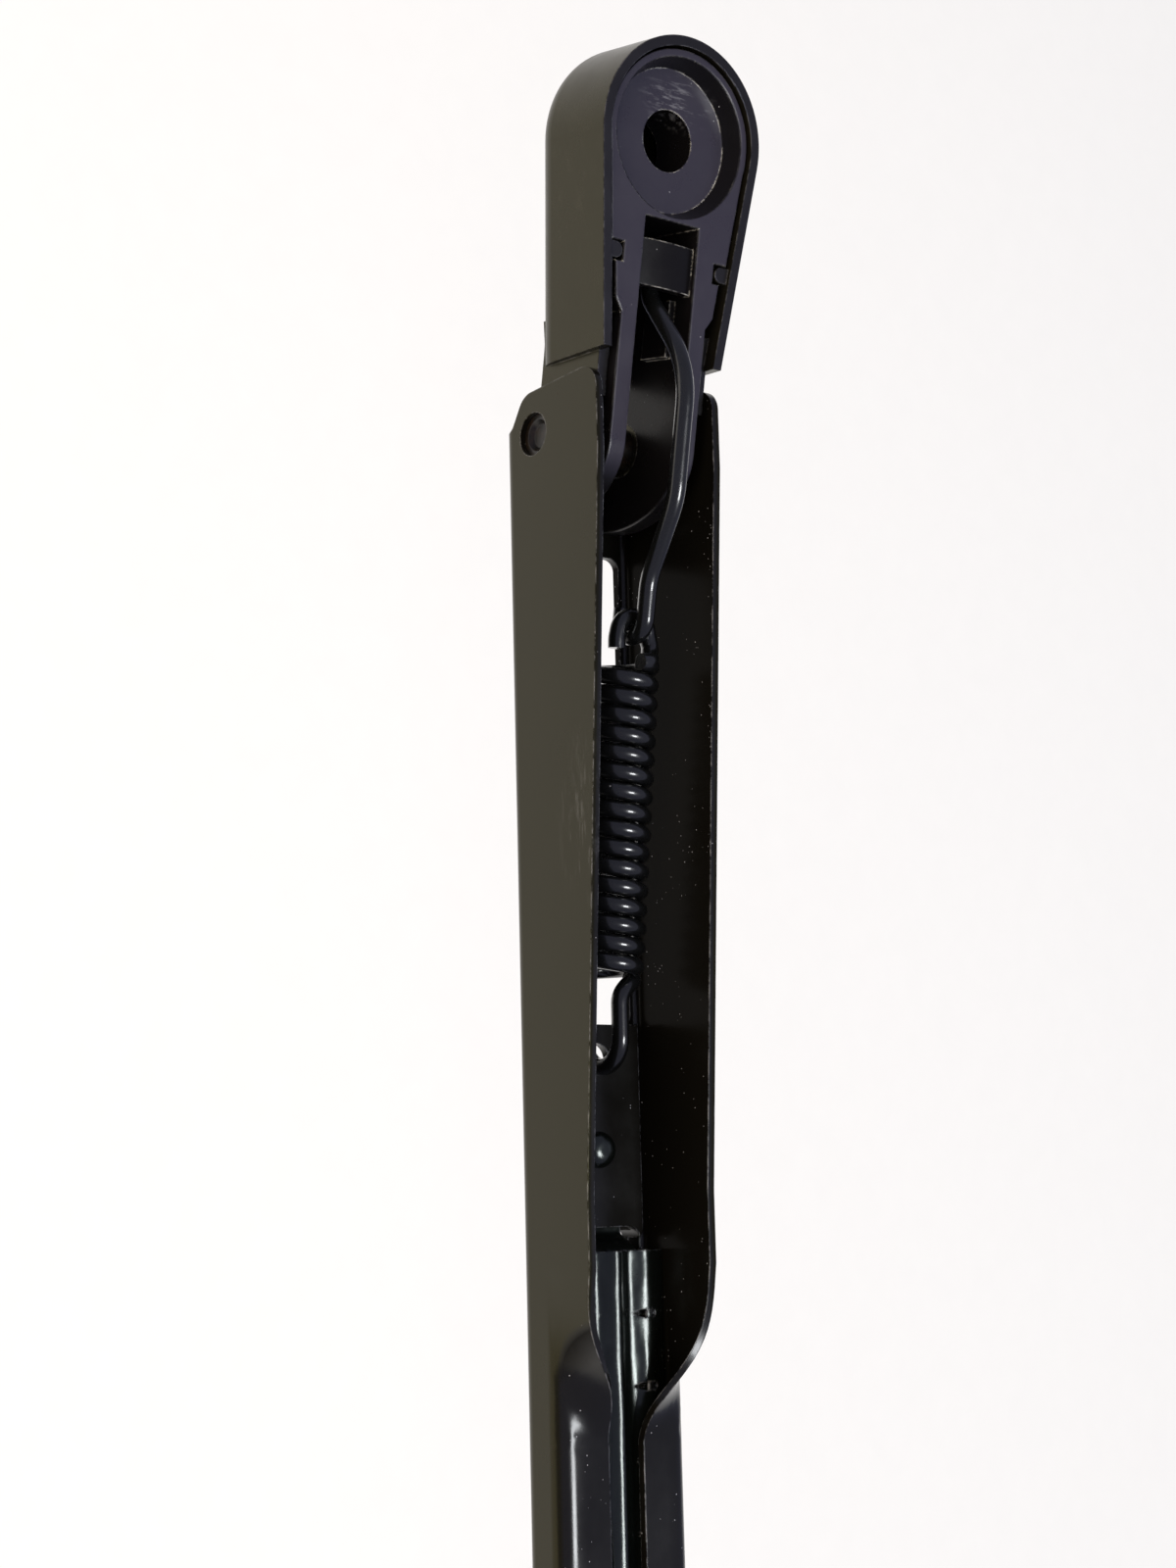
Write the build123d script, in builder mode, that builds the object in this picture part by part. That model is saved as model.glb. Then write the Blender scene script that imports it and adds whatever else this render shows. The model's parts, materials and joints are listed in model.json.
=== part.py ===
"""Windscreen wiper arm, lying on its top face with the underside (the glass side) up.

The origin is the seat of the spindle bore. +X runs along the arm to its tip, +Z out of the underside.
The arm is at its closed stop: the spring has pulled it past straight, so the head leans on its hinge.
All sizes are in millimetres.
"""

import os
from math import cos, pi, radians, sin

from build123d import *

# Head: heights are measured from the recess floor, on which the spindle's shoulder seats
head_lean = 10.7
spindle_to_hinge = 50.1
hinge_below_seat = 12.4
spindle_bore_radius = 5.1
spindle_bore_length = 9.0
nut_pocket_radius = 9.5
recess_radius = 11.9
recess_depth = 3.5
recess_flare = 20.0
casting_round = 0.3

# Head cover: a cap over the casting
cover_end_radius = 16.5
cover_hinge_width = 24.4
cover_length = 36.4
cover_end_slant = 2.4
cover_depth = 19.2
cover_wall = 1.7
cover_rim_step = 0.7
cover_top_radius = 5.0
cover_gap = 0.3
cover_top_gap = 2.2
tongue_root = 31.0
tongue_end = 44.0
tongue_rim_step = 1.9
tongue_height = 15.2
snap_along = 20.6
snap_length = 2.6
snap_reach = 2.2
snap_depth = 2.4

# Fork: the two legs of the casting and the bar between them
fork_start = 13.9
fork_gap = 11.2
leg_wall = 3.4
leg_reach = 14.0
leg_barrel_radius = 5.6
leg_heel_reach = 11.5
leg_arch_start = 1.0
leg_arch_foot = 2.2
flank_step_along = 28.2
flank_step = 0.8
flank_step_run = 2.0
web_start = 17.3
web_end = 25.0
web_wall = 2.2
web_crown = 1.2
web_rim_step = 0.3
bar_along = 21.0
bar_below_seat = 5.2
bar_radius = 2.2
ledge_wall = 1.2
ledge_start = 25.6
ledge_length = 9.5
ledge_height = 6.5
ledge_rim_step = 4.5

# Hinge
pin_radius = 3.6
pin_above_top = 8.4
pin_end_recess = 1.1
pin_dish_radius = 2.7
pin_dish_depth = 0.8
pin_dish_slope = 40.0
press_clearance = 0.02
running_clearance = 0.05
bush_wall = 0.9
bush_flange_radius = 5.0
bush_flange_wall = 0.9
stop_gap = 0.5

# Retainer: heights are measured from its flat top face, distances from the hinge
retainer_width = 26.0
retainer_wall = 1.4
retainer_bend = 2.6
retainer_length = 188.0
root_height = 25.6
taper_start = 6.0
taper_end = 125.0
fold_start = 136.5
fold_start_height = 18.2
fold_length = 28.0
folded_height = 10.0
fold_bend = 3.0
fold_ease = 1.8
fold_dip = 1.2
top_front = 1.8
ear_reach = 7.9
ear_slope_reach = 7.2
ear_slope_low = 2.4
ear_slope_high = 6.0
ear_corner = 4.0
ear_bends = (2.0, 4.0, 3.0, 3.8)
taper_bends = (12.0, 20.0)

# Raised floor of the retainer, with the spring's anchor and the socket's slot
floor_raise = 3.2
floor_width = 18.0
floor_end = 133.4
floor_corner = 3.0
window_start = 17.0
window_end = 97.5
window_corner = 2.0
window_width = 20.0
anchor_along = 103.2
anchor_hole_radius = 2.6
rivet_along = 118.0
slot_start = 130.5
slot_end = 135.1

# Wire hook and tension spring
link_clearance = 0.3
hook_wire = 3.0
hook_rise_along = 25.8
hook_bulge_along = 38.4
hook_bulge = 10.8
hook_fall_along = 60.0
hook_bends = (5.0, 16.0, 14.0, 10.0)
eye_along = 31.5
eye_height = 17.6
spring_wire = 2.7
spring_radius = 4.6
spring_pitch = 3.09
spring_turns = 16.75
coil_start = 38.6
coil_start_height = 14.6
coil_slope = 7.1
eye_half_width = 3.1
eye_leg = 5.4
eye_shoulder = 3.2
eye_crown = 0.9
eye_crown_side = 2.2
eye_lean = 0.1
eye_sway = 0.7
anchor_bend = 4.8
anchor_bend_along = 99.8
anchor_lead_along = 94.5
anchor_tip_along = 98.0

# Socket: pressed strip under the flanges that grips the rod
socket_wall = 1.5
socket_start = 134.3
socket_end = 187.2
socket_gap = 0.5
socket_foot = 2.2
seat_gap = 0.05
socket_crest = 9.2
socket_valley = 7.3
socket_valley_side = 3.3
socket_ridge = 8.3
socket_ridge_side = 6.0
socket_shoulder = 7.8
socket_shoulder_side = 8.4
socket_edge = 6.6
socket_tongue_width = 10.6
socket_tongue_end = 110.0
socket_tongue_lap = 3.0
socket_tongue_fall = 2.2
socket_tongue_bend = 1.6
groove_first = 144.4
groove_pitch = 11.55
groove_count = 4
groove_side = 5.6
groove_length = 6.6
groove_width = 1.5
groove_depth = 0.9
groove_slope = 30.0
rivet_dome_radius = 3.0
rivet_dome_height = 2.1
rivet_shank_radius = 1.6
rivet_head_radius = 2.5

# Rod: flat bar with the blade hook at its tip
rod_wall = 4.0
rod_root_width = 14.0
rod_tip_width = 9.0
rod_start = 140.0
rod_taper_start = 200.0
rod_taper_end = 300.0
spindle_to_tip = 460.0
blade_hook_radius = 3.6
blade_hook_return = 14.0

# Planes: the head leans back about the hinge, the arm lies on its top face
lean = radians(head_lean)
head_plane = Plane(origin=(0, 0, 0), x_dir=(cos(lean), 0, -sin(lean)), z_dir=(sin(lean), 0, cos(lean)))
head_side = Plane(origin=(0, 0, 0), x_dir=head_plane.x_dir, z_dir=(0, -1, 0))
along_head = Axis(origin=(0, 0, 0), direction=head_plane.x_dir)
up_head = Axis(origin=(0, 0, 0), direction=head_plane.z_dir)
hinge = head_plane.from_local_coords(Vector(spindle_to_hinge, 0, -hinge_below_seat))
arm_plane = Plane(origin=(hinge.X, 0, hinge.Z - pin_above_top))
arm_side = Plane(origin=arm_plane.origin, x_dir=(1, 0, 0), z_dir=(0, -1, 0))
pin_plane = Plane(origin=hinge, x_dir=(1, 0, 0), z_dir=(0, -1, 0))


def arm_section(along):
    """Return the cross plane of the arm at a distance from the hinge."""
    return Plane(origin=arm_plane.origin + Vector(along, 0, 0), x_dir=(0, 1, 0), z_dir=(1, 0, 0))


# Levels and half widths that follow from the sizes above
casting_rim = recess_depth
cover_rim = casting_rim + cover_rim_step
cover_top = cover_rim - cover_depth
casting_top = cover_top + cover_wall + cover_top_gap
flank_gap = cover_wall + cover_gap
casting_end_radius = cover_end_radius - flank_gap
hinge_level = -hinge_below_seat
leg_foot = hinge_level - leg_barrel_radius
leg_inner = fork_gap / 2
leg_outer = leg_inner + leg_wall
leg_end = spindle_to_hinge + leg_reach
bush_bore_radius = pin_radius + running_clearance
bush_radius = bush_bore_radius + bush_wall
retainer_inner = retainer_width / 2 - retainer_wall
fold_line = folded_height - fold_bend
floor_level = floor_raise + retainer_wall
pocket_width = floor_width - 2 * retainer_wall
seat_level = retainer_wall + seat_gap
slab = 2 * cover_end_radius


def cover_half_width(along):
    """Return the outer half width of the cover's flank at a distance from the spindle."""
    return cover_end_radius + (cover_hinge_width / 2 - cover_end_radius) * along / cover_length


# Head casting: boss and fork in plan, cut to the side view of the legs
flank_at_snap = cover_half_width(snap_along) - flank_gap
flank_at_step = cover_half_width(flank_step_along) - flank_gap - flank_step
stop_level = (retainer_wall + stop_gap - pin_above_top + leg_reach * sin(lean)) / cos(lean)

with BuildPart() as head_casting:
    with BuildSketch(head_plane.offset(leg_foot)):
        Circle(casting_end_radius)
        with BuildLine():
            flank = Polyline(
                (0, casting_end_radius),
                (snap_along, flank_at_snap),
                (snap_along, flank_at_snap - flank_step),
                (flank_step_along, flank_at_step),
                (flank_step_along + flank_step_run, leg_outer),
                (leg_end, leg_outer),
                (leg_end, 0),
            )
            mirror(flank, about=Plane.XZ)
            Line((0, casting_end_radius), (0, -casting_end_radius))
        make_face()
    extrude(amount=casting_rim - leg_foot)
    # side view: arched leg ends, round barrels at the hinge
    with BuildSketch(head_side):
        with BuildLine():
            arch_foot = hinge_level - leg_arch_foot
            arch_top_along = spindle_to_hinge + leg_arch_start
            barrel_front = spindle_to_hinge - leg_barrel_radius
            EllipticalCenterArc(
                (arch_top_along, arch_foot), leg_end - arch_top_along, casting_rim - arch_foot, arc_size=90
            )
            CenterArc((spindle_to_hinge, hinge_level), leg_barrel_radius, 180, 90)
            Polyline(
                (arch_top_along, casting_rim),
                (-casting_end_radius, casting_rim),
                (-casting_end_radius, casting_top),
                (spindle_to_hinge - leg_heel_reach, casting_top),
                (barrel_front, hinge_level),
            )
            Polyline(
                (spindle_to_hinge, leg_foot),
                (leg_end, hinge_level + stop_level),
                (leg_end, arch_foot),
            )
        make_face()
    extrude(amount=slab, both=True, mode=Mode.INTERSECT)
    # fork opening
    with BuildSketch(head_plane.offset(casting_rim)):
        with Locations((fork_start, 0)):
            Rectangle(leg_end, fork_gap, align=(Align.MIN, Align.CENTER))
    extrude(amount=leg_foot - casting_rim, mode=Mode.SUBTRACT)
    # crowned web across the fork, and under it the round bar for the wire hook
    web_plane = Plane(
        origin=head_plane.from_local_coords(Vector(web_start, 0, casting_rim - web_rim_step)),
        x_dir=(0, 1, 0),
        z_dir=head_plane.x_dir,
    )
    with BuildSketch(web_plane):
        with BuildLine():
            web_side = leg_inner + leg_wall / 2
            ThreePointArc((-web_side, -web_crown), (0, 0), (web_side, -web_crown))
            Polyline(
                (-web_side, -web_crown), (-web_side, -web_wall), (web_side, -web_wall), (web_side, -web_crown)
            )
        make_face()
    extrude(amount=web_end - web_start)
    with BuildSketch(head_side):
        with Locations((bar_along, -bar_below_seat)):
            Circle(bar_radius)
    extrude(amount=leg_inner + leg_wall / 2, both=True)
    # ledges on the inner faces of the legs
    with BuildSketch(head_side):
        with Locations((ledge_start, casting_rim - ledge_rim_step)):
            Rectangle(ledge_length, ledge_height, align=(Align.MIN, Align.MAX))
    extrude(amount=leg_inner, both=True)
    with BuildSketch(head_plane.offset(casting_rim)):
        with Locations((web_end, 0)):
            Rectangle(leg_end, fork_gap - 2 * ledge_wall, align=(Align.MIN, Align.CENTER))
    extrude(amount=leg_foot - casting_rim, mode=Mode.SUBTRACT)
    # dished recess, spindle bore and nut pocket
    with BuildSketch(head_plane):
        Circle(recess_radius)
    extrude(amount=recess_depth, taper=-recess_flare, mode=Mode.SUBTRACT)
    with BuildSketch(head_plane):
        Circle(spindle_bore_radius)
    extrude(amount=-spindle_bore_length, mode=Mode.SUBTRACT)
    with BuildSketch(head_plane.offset(-spindle_bore_length)):
        Circle(nut_pocket_radius)
    extrude(amount=casting_top + spindle_bore_length, mode=Mode.SUBTRACT)
    # bores for the hinge bushes
    with BuildSketch(pin_plane):
        Circle(bush_radius + press_clearance)
    extrude(amount=leg_outer, both=True, mode=Mode.SUBTRACT)
    # notches for the cover's snap tabs
    with BuildSketch(head_plane.offset(casting_rim)):
        with Locations((snap_along, flank_at_snap), (snap_along, -flank_at_snap)):
            Rectangle(snap_length + 2 * cover_gap, 2 * (snap_reach + cover_gap))
    extrude(amount=-snap_depth - cover_gap, mode=Mode.SUBTRACT)
    # rims rounded as cast
    fillet(head_casting.faces().sort_by(up_head)[-1].edges(), casting_round)
head_casting.part.label = "head_casting"

# Head cover: a shell open to the glass and to the hinge
snap_nose = flank_at_snap - snap_reach + snap_length / 2
snap_root = flank_at_snap + flank_gap - cover_wall / 2
tongue_inner = leg_outer + cover_gap
tongue_outer = retainer_inner - cover_gap

with BuildPart() as head_cover:
    with BuildSketch(head_plane.offset(cover_top)):
        with BuildLine():
            CenterArc((0, 0), cover_end_radius, 0, 360)
            far_end = cover_length + cover_end_slant
            Line((far_end, -cover_hinge_width / 2), (far_end, cover_hinge_width / 2))
        make_hull()
    extrude(amount=cover_depth)
    with BuildSketch(head_side):
        with BuildLine():
            Polyline(
                (cover_length, cover_rim),
                (cover_length + cover_end_slant, cover_top),
                (cover_length + cover_end_slant, cover_rim),
                close=True,
            )
        make_face()
    extrude(amount=slab, both=True, mode=Mode.SUBTRACT)
    top_face = head_cover.faces().sort_by(up_head)[0]
    fillet(top_face.edges().sort_by(along_head)[:-1], cover_top_radius)
    rim_face = head_cover.faces().sort_by(up_head)[-1]
    end_face = head_cover.faces().sort_by(along_head)[-1]
    offset(amount=-cover_wall, openings=[rim_face, end_face])
    # snap tabs that hook into the casting's notches
    with BuildSketch(head_plane.offset(casting_rim)):
        for side in (1, -1):
            with Locations((snap_along, side * snap_nose)):
                Circle(snap_length / 2)
            with Locations((snap_along, side * (snap_nose + snap_root) / 2)):
                Rectangle(snap_length, snap_root - snap_nose)
    extrude(amount=-snap_depth)
    # tongues that run on between the legs and the ears
    with BuildSketch(head_plane.offset(casting_rim - tongue_rim_step)):
        for side in (1, -1):
            with BuildLine():
                Polyline(
                    (tongue_root, side * tongue_inner),
                    (tongue_end, side * tongue_inner),
                    (tongue_end, side * tongue_outer),
                    (cover_length, side * tongue_outer),
                    (cover_length - cover_wall, side * (cover_half_width(cover_length) - cover_wall / 2)),
                    (tongue_root, side * (cover_half_width(tongue_root) - cover_wall / 2)),
                    close=True,
                )
            make_face()
    extrude(amount=-tongue_height)
head_cover.part.label = "head_cover"

# Hinge pin, pressed into the ears, with dished ends below their faces
pin_half_length = retainer_width / 2 - pin_end_recess
with BuildPart() as hinge_pin:
    with BuildSketch(pin_plane):
        Circle(pin_radius)
    extrude(amount=pin_half_length, both=True)
    for side in (1, -1):
        with BuildSketch(pin_plane.offset(side * pin_half_length)):
            Circle(pin_dish_radius)
        extrude(amount=-side * pin_dish_depth, taper=pin_dish_slope, mode=Mode.SUBTRACT)
hinge_pin.part.label = "hinge_pin"

# Hinge bushes, pressed into the legs, with a flange towards the ear
bushes = []
for side, name in ((1, "hinge_bush_left"), (-1, "hinge_bush_right")):
    with BuildPart() as hinge_bush:
        with BuildSketch(pin_plane.offset(side * leg_inner)):
            Circle(bush_radius)
        extrude(amount=side * leg_wall)
        with BuildSketch(pin_plane.offset(side * (leg_outer + running_clearance))):
            Circle(bush_flange_radius)
        extrude(amount=side * bush_flange_wall)
        with BuildSketch(pin_plane.offset(side * leg_outer)):
            Circle(bush_radius)
        extrude(amount=side * running_clearance)
        with BuildSketch(pin_plane):
            Circle(bush_bore_radius)
        extrude(amount=side * retainer_width, mode=Mode.SUBTRACT)
    hinge_bush.part.label = name
    bushes.append(hinge_bush)

# Retainer: a channel, cut to its side view, then its walls folded over at the far end
fold_strip = fold_start_height - fold_line
fold_steps = 8
fold_points = 12


def fold_point(run, turn, depth):
    """Return the place of a point on the folding wall, a run up from the bend and a depth below its skin."""
    bent = min(run / fold_bend, turn)
    straight = run - fold_bend * bent
    reach = fold_bend - depth
    side = retainer_width / 2 - fold_bend + reach * cos(bent) - straight * sin(bent)
    height = fold_line + reach * sin(bent) + straight * cos(bent)
    return side, height


def fold_section(share, side):
    """Sketch the folding wall's section a share of the way along the fold."""
    eased = share**fold_ease
    turn = pi / 2 * eased * eased * (3 - 2 * eased)
    strip = fold_strip - fold_dip * sin(pi * share)
    runs = [strip * step / fold_points for step in range(fold_points + 1)]
    outer = [fold_point(run, turn, 0) for run in runs]
    inner = [fold_point(run, turn, retainer_wall) for run in runs]
    with BuildSketch(arm_section(fold_start + fold_length * share)) as section:
        with BuildLine():
            Spline([(side * y, h) for y, h in outer])
            Spline([(side * y, h) for y, h in inner])
            Line((side * outer[0][0], outer[0][1]), (side * inner[0][0], inner[0][1]))
            Line((side * outer[-1][0], outer[-1][1]), (side * inner[-1][0], inner[-1][1]))
        make_face()
    return section.sketch.face()


with BuildPart() as retainer:
    with BuildSketch(arm_section(-ear_reach)):
        with BuildLine():
            half = retainer_width / 2
            FilletPolyline(
                (-half, root_height), (-half, 0), (half, 0), (half, root_height), radius=retainer_bend
            )
            FilletPolyline(
                (-retainer_inner, root_height),
                (-retainer_inner, retainer_wall),
                (retainer_inner, retainer_wall),
                (retainer_inner, root_height),
                radius=retainer_bend - retainer_wall,
            )
            Line((-half, root_height), (-retainer_inner, root_height))
            Line((half, root_height), (retainer_inner, root_height))
        make_face()
    extrude(amount=ear_reach + retainer_length)
    with BuildSketch(arm_side):
        with BuildLine():
            FilletPolyline(
                (-top_front, 0),
                (-top_front, ear_slope_low),
                (-ear_slope_reach, ear_slope_high),
                (-ear_reach, root_height - ear_corner),
                (-ear_reach, root_height),
                (taper_start, root_height),
                (taper_end, fold_start_height),
                (fold_start, fold_start_height),
                (fold_start, fold_line),
                (retainer_length, fold_line),
                (retainer_length, 0),
                radius=(0, *ear_bends, *taper_bends, 0, 0, 0, 0),
                close=True,
            )
        make_face()
    extrude(amount=slab, both=True, mode=Mode.INTERSECT)
    # folded flanges
    for side in (1, -1):
        sections = [fold_section(step / fold_steps, side) for step in range(fold_steps + 1)]
        loft(sections)
        extrude(sections[-1], amount=retainer_length - fold_start - fold_length, dir=(1, 0, 0))
    # raised floor, hollow on the outside and open to the window
    floor_start = window_end - floor_corner
    with BuildSketch(arm_plane.offset(retainer_wall / 2)):
        with Locations((floor_start, 0)):
            RectangleRounded(
                floor_end - floor_start, floor_width, floor_corner, align=(Align.MIN, Align.CENTER)
            )
    extrude(amount=floor_level - retainer_wall / 2)
    with BuildSketch(arm_plane):
        with Locations((floor_start, 0)):
            Rectangle(
                floor_end - floor_start - retainer_wall, pocket_width, align=(Align.MIN, Align.CENTER)
            )
    extrude(amount=floor_raise, mode=Mode.SUBTRACT)
    # window, anchor hole, rivet hole and tongue slot
    with BuildSketch(arm_plane):
        with Locations(((window_start + window_end) / 2, 0)):
            RectangleRounded(window_end - window_start, window_width, window_corner)
        with Locations((anchor_along, 0)):
            Circle(anchor_hole_radius)
        with Locations((rivet_along, 0)):
            Circle(rivet_shank_radius + press_clearance)
        with Locations(((slot_start + slot_end) / 2, 0)):
            SlotOverall(floor_width - retainer_wall, slot_end - slot_start, rotation=90)
    extrude(amount=floor_level + retainer_wall, mode=Mode.SUBTRACT)
    # pin holes in the ears
    with BuildSketch(pin_plane):
        Circle(pin_radius + press_clearance)
    extrude(amount=slab, both=True, mode=Mode.SUBTRACT)
retainer.part.label = "retainer"

# Wire hook: round the bar, out over the hinge and back to the spring's eye
eye = head_plane.to_local_coords(arm_plane.from_local_coords(Vector(eye_along, 0, eye_height)))
hook_offset = hook_wire / 2 + link_clearance
wrap = bar_radius + hook_offset
wrap_top = wrap - bar_below_seat
curl = spring_wire / 2 + hook_offset
with BuildPart() as c_hook:
    with BuildLine(head_side) as hook_path:
        CenterArc((bar_along, -bar_below_seat), wrap, 90, 190)
        FilletPolyline(
            (bar_along, wrap_top),
            (hook_rise_along, wrap_top),
            (hook_bulge_along, hook_bulge),
            (hook_fall_along, hook_bulge),
            (eye.X - 2 * curl, eye.Z + curl),
            (eye.X + curl, eye.Z + curl),
            (eye.X + curl, eye.Z - curl),
            (eye.X - curl / 2, eye.Z - curl),
            radius=(*hook_bends, curl, curl),
        )
    hook_wire_path = hook_path.wire()
    with BuildSketch(Plane(origin=hook_wire_path @ 0, z_dir=hook_wire_path % 0)):
        Circle(hook_wire / 2)
    sweep(path=hook_wire_path)
c_hook.part.label = "c_hook"

# Tension spring: eye, coil and anchor hook in one wire
slope = radians(coil_slope)
spring_plane = Plane(
    origin=arm_plane.from_local_coords(Vector(coil_start, 0, coil_start_height)),
    x_dir=(sin(slope), 0, cos(slope)),
    z_dir=(cos(slope), 0, -sin(slope)),
)
coil_length = spring_pitch * spring_turns
anchor_level = link_clearance + spring_wire / 2
anchor_top = anchor_level + 2 * anchor_bend


def in_spring(along, height):
    """Return a point of the arm's middle plane in the spring's own frame."""
    return spring_plane.to_local_coords(arm_plane.from_local_coords(Vector(along, 0, height)))


eye_local = in_spring(eye_along, eye_height)
with BuildPart() as tension_spring:
    with BuildLine() as spring_path:
        coil = Helix(
            spring_pitch, coil_length, spring_radius, center=spring_plane.origin, direction=spring_plane.z_dir
        )
        eye_points = [
            (eye_local.X, eye_half_width, eye_local.Z + eye_leg),
            (eye_local.X, eye_half_width, eye_local.Z + eye_shoulder),
            (eye_local.X, eye_crown_side, eye_local.Z + eye_crown),
            (eye_local.X, 0, eye_local.Z),
            (eye_local.X, -eye_crown_side, eye_local.Z + eye_crown),
            (eye_local.X + eye_lean, -eye_half_width, eye_local.Z + eye_shoulder),
            (eye_local.X + eye_sway, -eye_half_width, eye_local.Z + eye_leg),
        ]
        top_eye = Spline(
            *[spring_plane.from_local_coords(Vector(*point)) for point in eye_points],
            coil @ 0,
            tangents=(-spring_plane.z_dir, coil % 0),
        )
        anchor_lead = arm_plane.from_local_coords(Vector(anchor_lead_along, 0, anchor_top))
        lead = Spline(coil @ 1, anchor_lead, tangents=(coil % 1, (1, 0, 0)))
    with BuildLine(arm_side) as anchor_path:
        Line((anchor_lead_along, anchor_top), (anchor_bend_along, anchor_top))
        CenterArc((anchor_bend_along, anchor_level + anchor_bend), anchor_bend, 90, -180)
        Line((anchor_bend_along, anchor_level), (anchor_tip_along, anchor_level))
    spring_wire_path = Wire([top_eye, coil, lead, *anchor_path.edges()])
    with BuildSketch(Plane(origin=top_eye @ 0, z_dir=top_eye % 0)):
        Circle(spring_wire / 2)
    sweep(path=spring_wire_path)
tension_spring.part.label = "tension_spring"

# Rod socket: pressed strip with two valleys towards the rod, and a tongue down through the floor's slot
socket_half = retainer_inner - socket_gap


def socket_outline(drop):
    """Return the socket's wavy line from one shoulder to the other, a drop below its skin."""
    right = (
        (socket_valley_side, socket_valley - drop),
        (socket_ridge_side, socket_ridge - drop),
        (socket_shoulder_side, socket_shoulder - drop),
    )
    left = [(-y, h) for y, h in reversed(right)]
    return (*left, (0, socket_crest - drop), *right)


with BuildPart() as rod_socket:
    with BuildSketch(arm_section(socket_start)):
        with BuildLine():
            for drop, half in ((0, socket_half), (socket_wall, socket_half - socket_wall)):
                wave = Spline(*socket_outline(drop))
                for end, side in ((wave @ 0, -1), (wave @ 1, 1)):
                    Polyline(
                        (end.X, end.Y),
                        (side * half, socket_edge - drop),
                        (side * half, socket_foot),
                    )
            Line((socket_half, socket_foot), (socket_half - socket_wall, socket_foot))
            Line((-socket_half, socket_foot), (-socket_half + socket_wall, socket_foot))
        make_face()
    extrude(amount=socket_end - socket_start)
    # tongue
    tongue_level = floor_raise - seat_gap - socket_wall
    tongue_top_along = slot_end - seat_gap - socket_wall / 2
    with BuildSketch(arm_side):
        with BuildLine() as tongue_path:
            FilletPolyline(
                (socket_start + socket_tongue_lap, socket_valley - socket_wall / 2),
                (tongue_top_along, socket_valley - socket_wall / 2),
                (tongue_top_along - socket_tongue_fall, tongue_level + socket_wall / 2),
                (socket_tongue_end, tongue_level + socket_wall / 2),
                radius=socket_tongue_bend,
            )
        trace(line_width=socket_wall)
    extrude(amount=socket_tongue_width / 2, both=True)
    with BuildSketch(arm_plane):
        with Locations((rivet_along, 0)):
            Circle(rivet_shank_radius + press_clearance)
    extrude(amount=floor_raise, mode=Mode.SUBTRACT)
    # cross grooves pressed into the two shoulders
    with BuildSketch(arm_plane.offset(socket_ridge)):
        for step in range(groove_count):
            for side in (1, -1):
                with Locations((groove_first + groove_pitch * step, side * groove_side)):
                    SlotOverall(groove_length, groove_width, rotation=90)
    extrude(amount=-groove_depth, taper=groove_slope, mode=Mode.SUBTRACT)
rod_socket.part.label = "rod_socket"

# Socket rivet: dome inside, flat head in the hollow under the floor
rivet_foot = tongue_level - seat_gap
dome_foot = floor_level + seat_gap
with BuildPart() as socket_rivet:
    with BuildSketch(arm_plane.offset(dome_foot)):
        with Locations((rivet_along, 0)):
            Circle(rivet_dome_radius)
    extrude(amount=rivet_dome_height)
    fillet(socket_rivet.edges().sort_by(Axis.Z)[-1], rivet_dome_height - seat_gap)
    with BuildSketch(arm_plane.offset(link_clearance)):
        with Locations((rivet_along, 0)):
            Circle(rivet_head_radius)
    extrude(amount=rivet_foot - link_clearance)
    with BuildSketch(arm_plane.offset(rivet_foot)):
        with Locations((rivet_along, 0)):
            Circle(rivet_shank_radius)
    extrude(amount=dome_foot - rivet_foot)
socket_rivet.part.label = "socket_rivet"

# Rod: flat bar, narrowed in plan, with its tip curled into the blade hook
rod_tip = spindle_to_tip - hinge.X
rod_middle = seat_level + rod_wall / 2
hook_middle = blade_hook_radius + rod_wall / 2
hook_centre = rod_tip - hook_middle - rod_wall / 2
with BuildPart() as arm_rod:
    with BuildLine(arm_side) as rod_path:
        Line((rod_start, rod_middle), (hook_centre, rod_middle))
        CenterArc((hook_centre, rod_middle + hook_middle), hook_middle, -90, 180)
        hook_level = rod_middle + 2 * hook_middle
        Line((hook_centre, hook_level), (hook_centre - blade_hook_return, hook_level))
    with BuildSketch(arm_section(rod_start)):
        with Locations((0, rod_middle)):
            Rectangle(rod_root_width, rod_wall)
    sweep(path=rod_path.wire())
    with BuildSketch(arm_plane):
        with BuildLine():
            Polyline(
                (rod_start, rod_root_width / 2),
                (rod_taper_start, rod_root_width / 2),
                (rod_taper_end, rod_tip_width / 2),
                (rod_tip, rod_tip_width / 2),
                (rod_tip, -rod_tip_width / 2),
                (rod_taper_end, -rod_tip_width / 2),
                (rod_taper_start, -rod_root_width / 2),
                (rod_start, -rod_root_width / 2),
                close=True,
            )
        make_face()
    extrude(amount=slab, mode=Mode.INTERSECT)
arm_rod.part.label = "arm_rod"

# Export
os.makedirs("parts", exist_ok=True)
pieces = (
    head_casting,
    head_cover,
    hinge_pin,
    *bushes,
    retainer,
    c_hook,
    tension_spring,
    rod_socket,
    socket_rivet,
    arm_rod,
)
for piece in pieces:
    export_step(piece.part, f"parts/{piece.part.label}.step")
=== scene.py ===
"""Looks of a windscreen wiper arm, seen from its underside, over a plain white floor."""

import json
from math import cos, radians, sin, tau

import bpy
from bpy.props import FloatProperty, FloatVectorProperty, PointerProperty, StringProperty
from mathutils import Matrix, Vector


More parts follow.
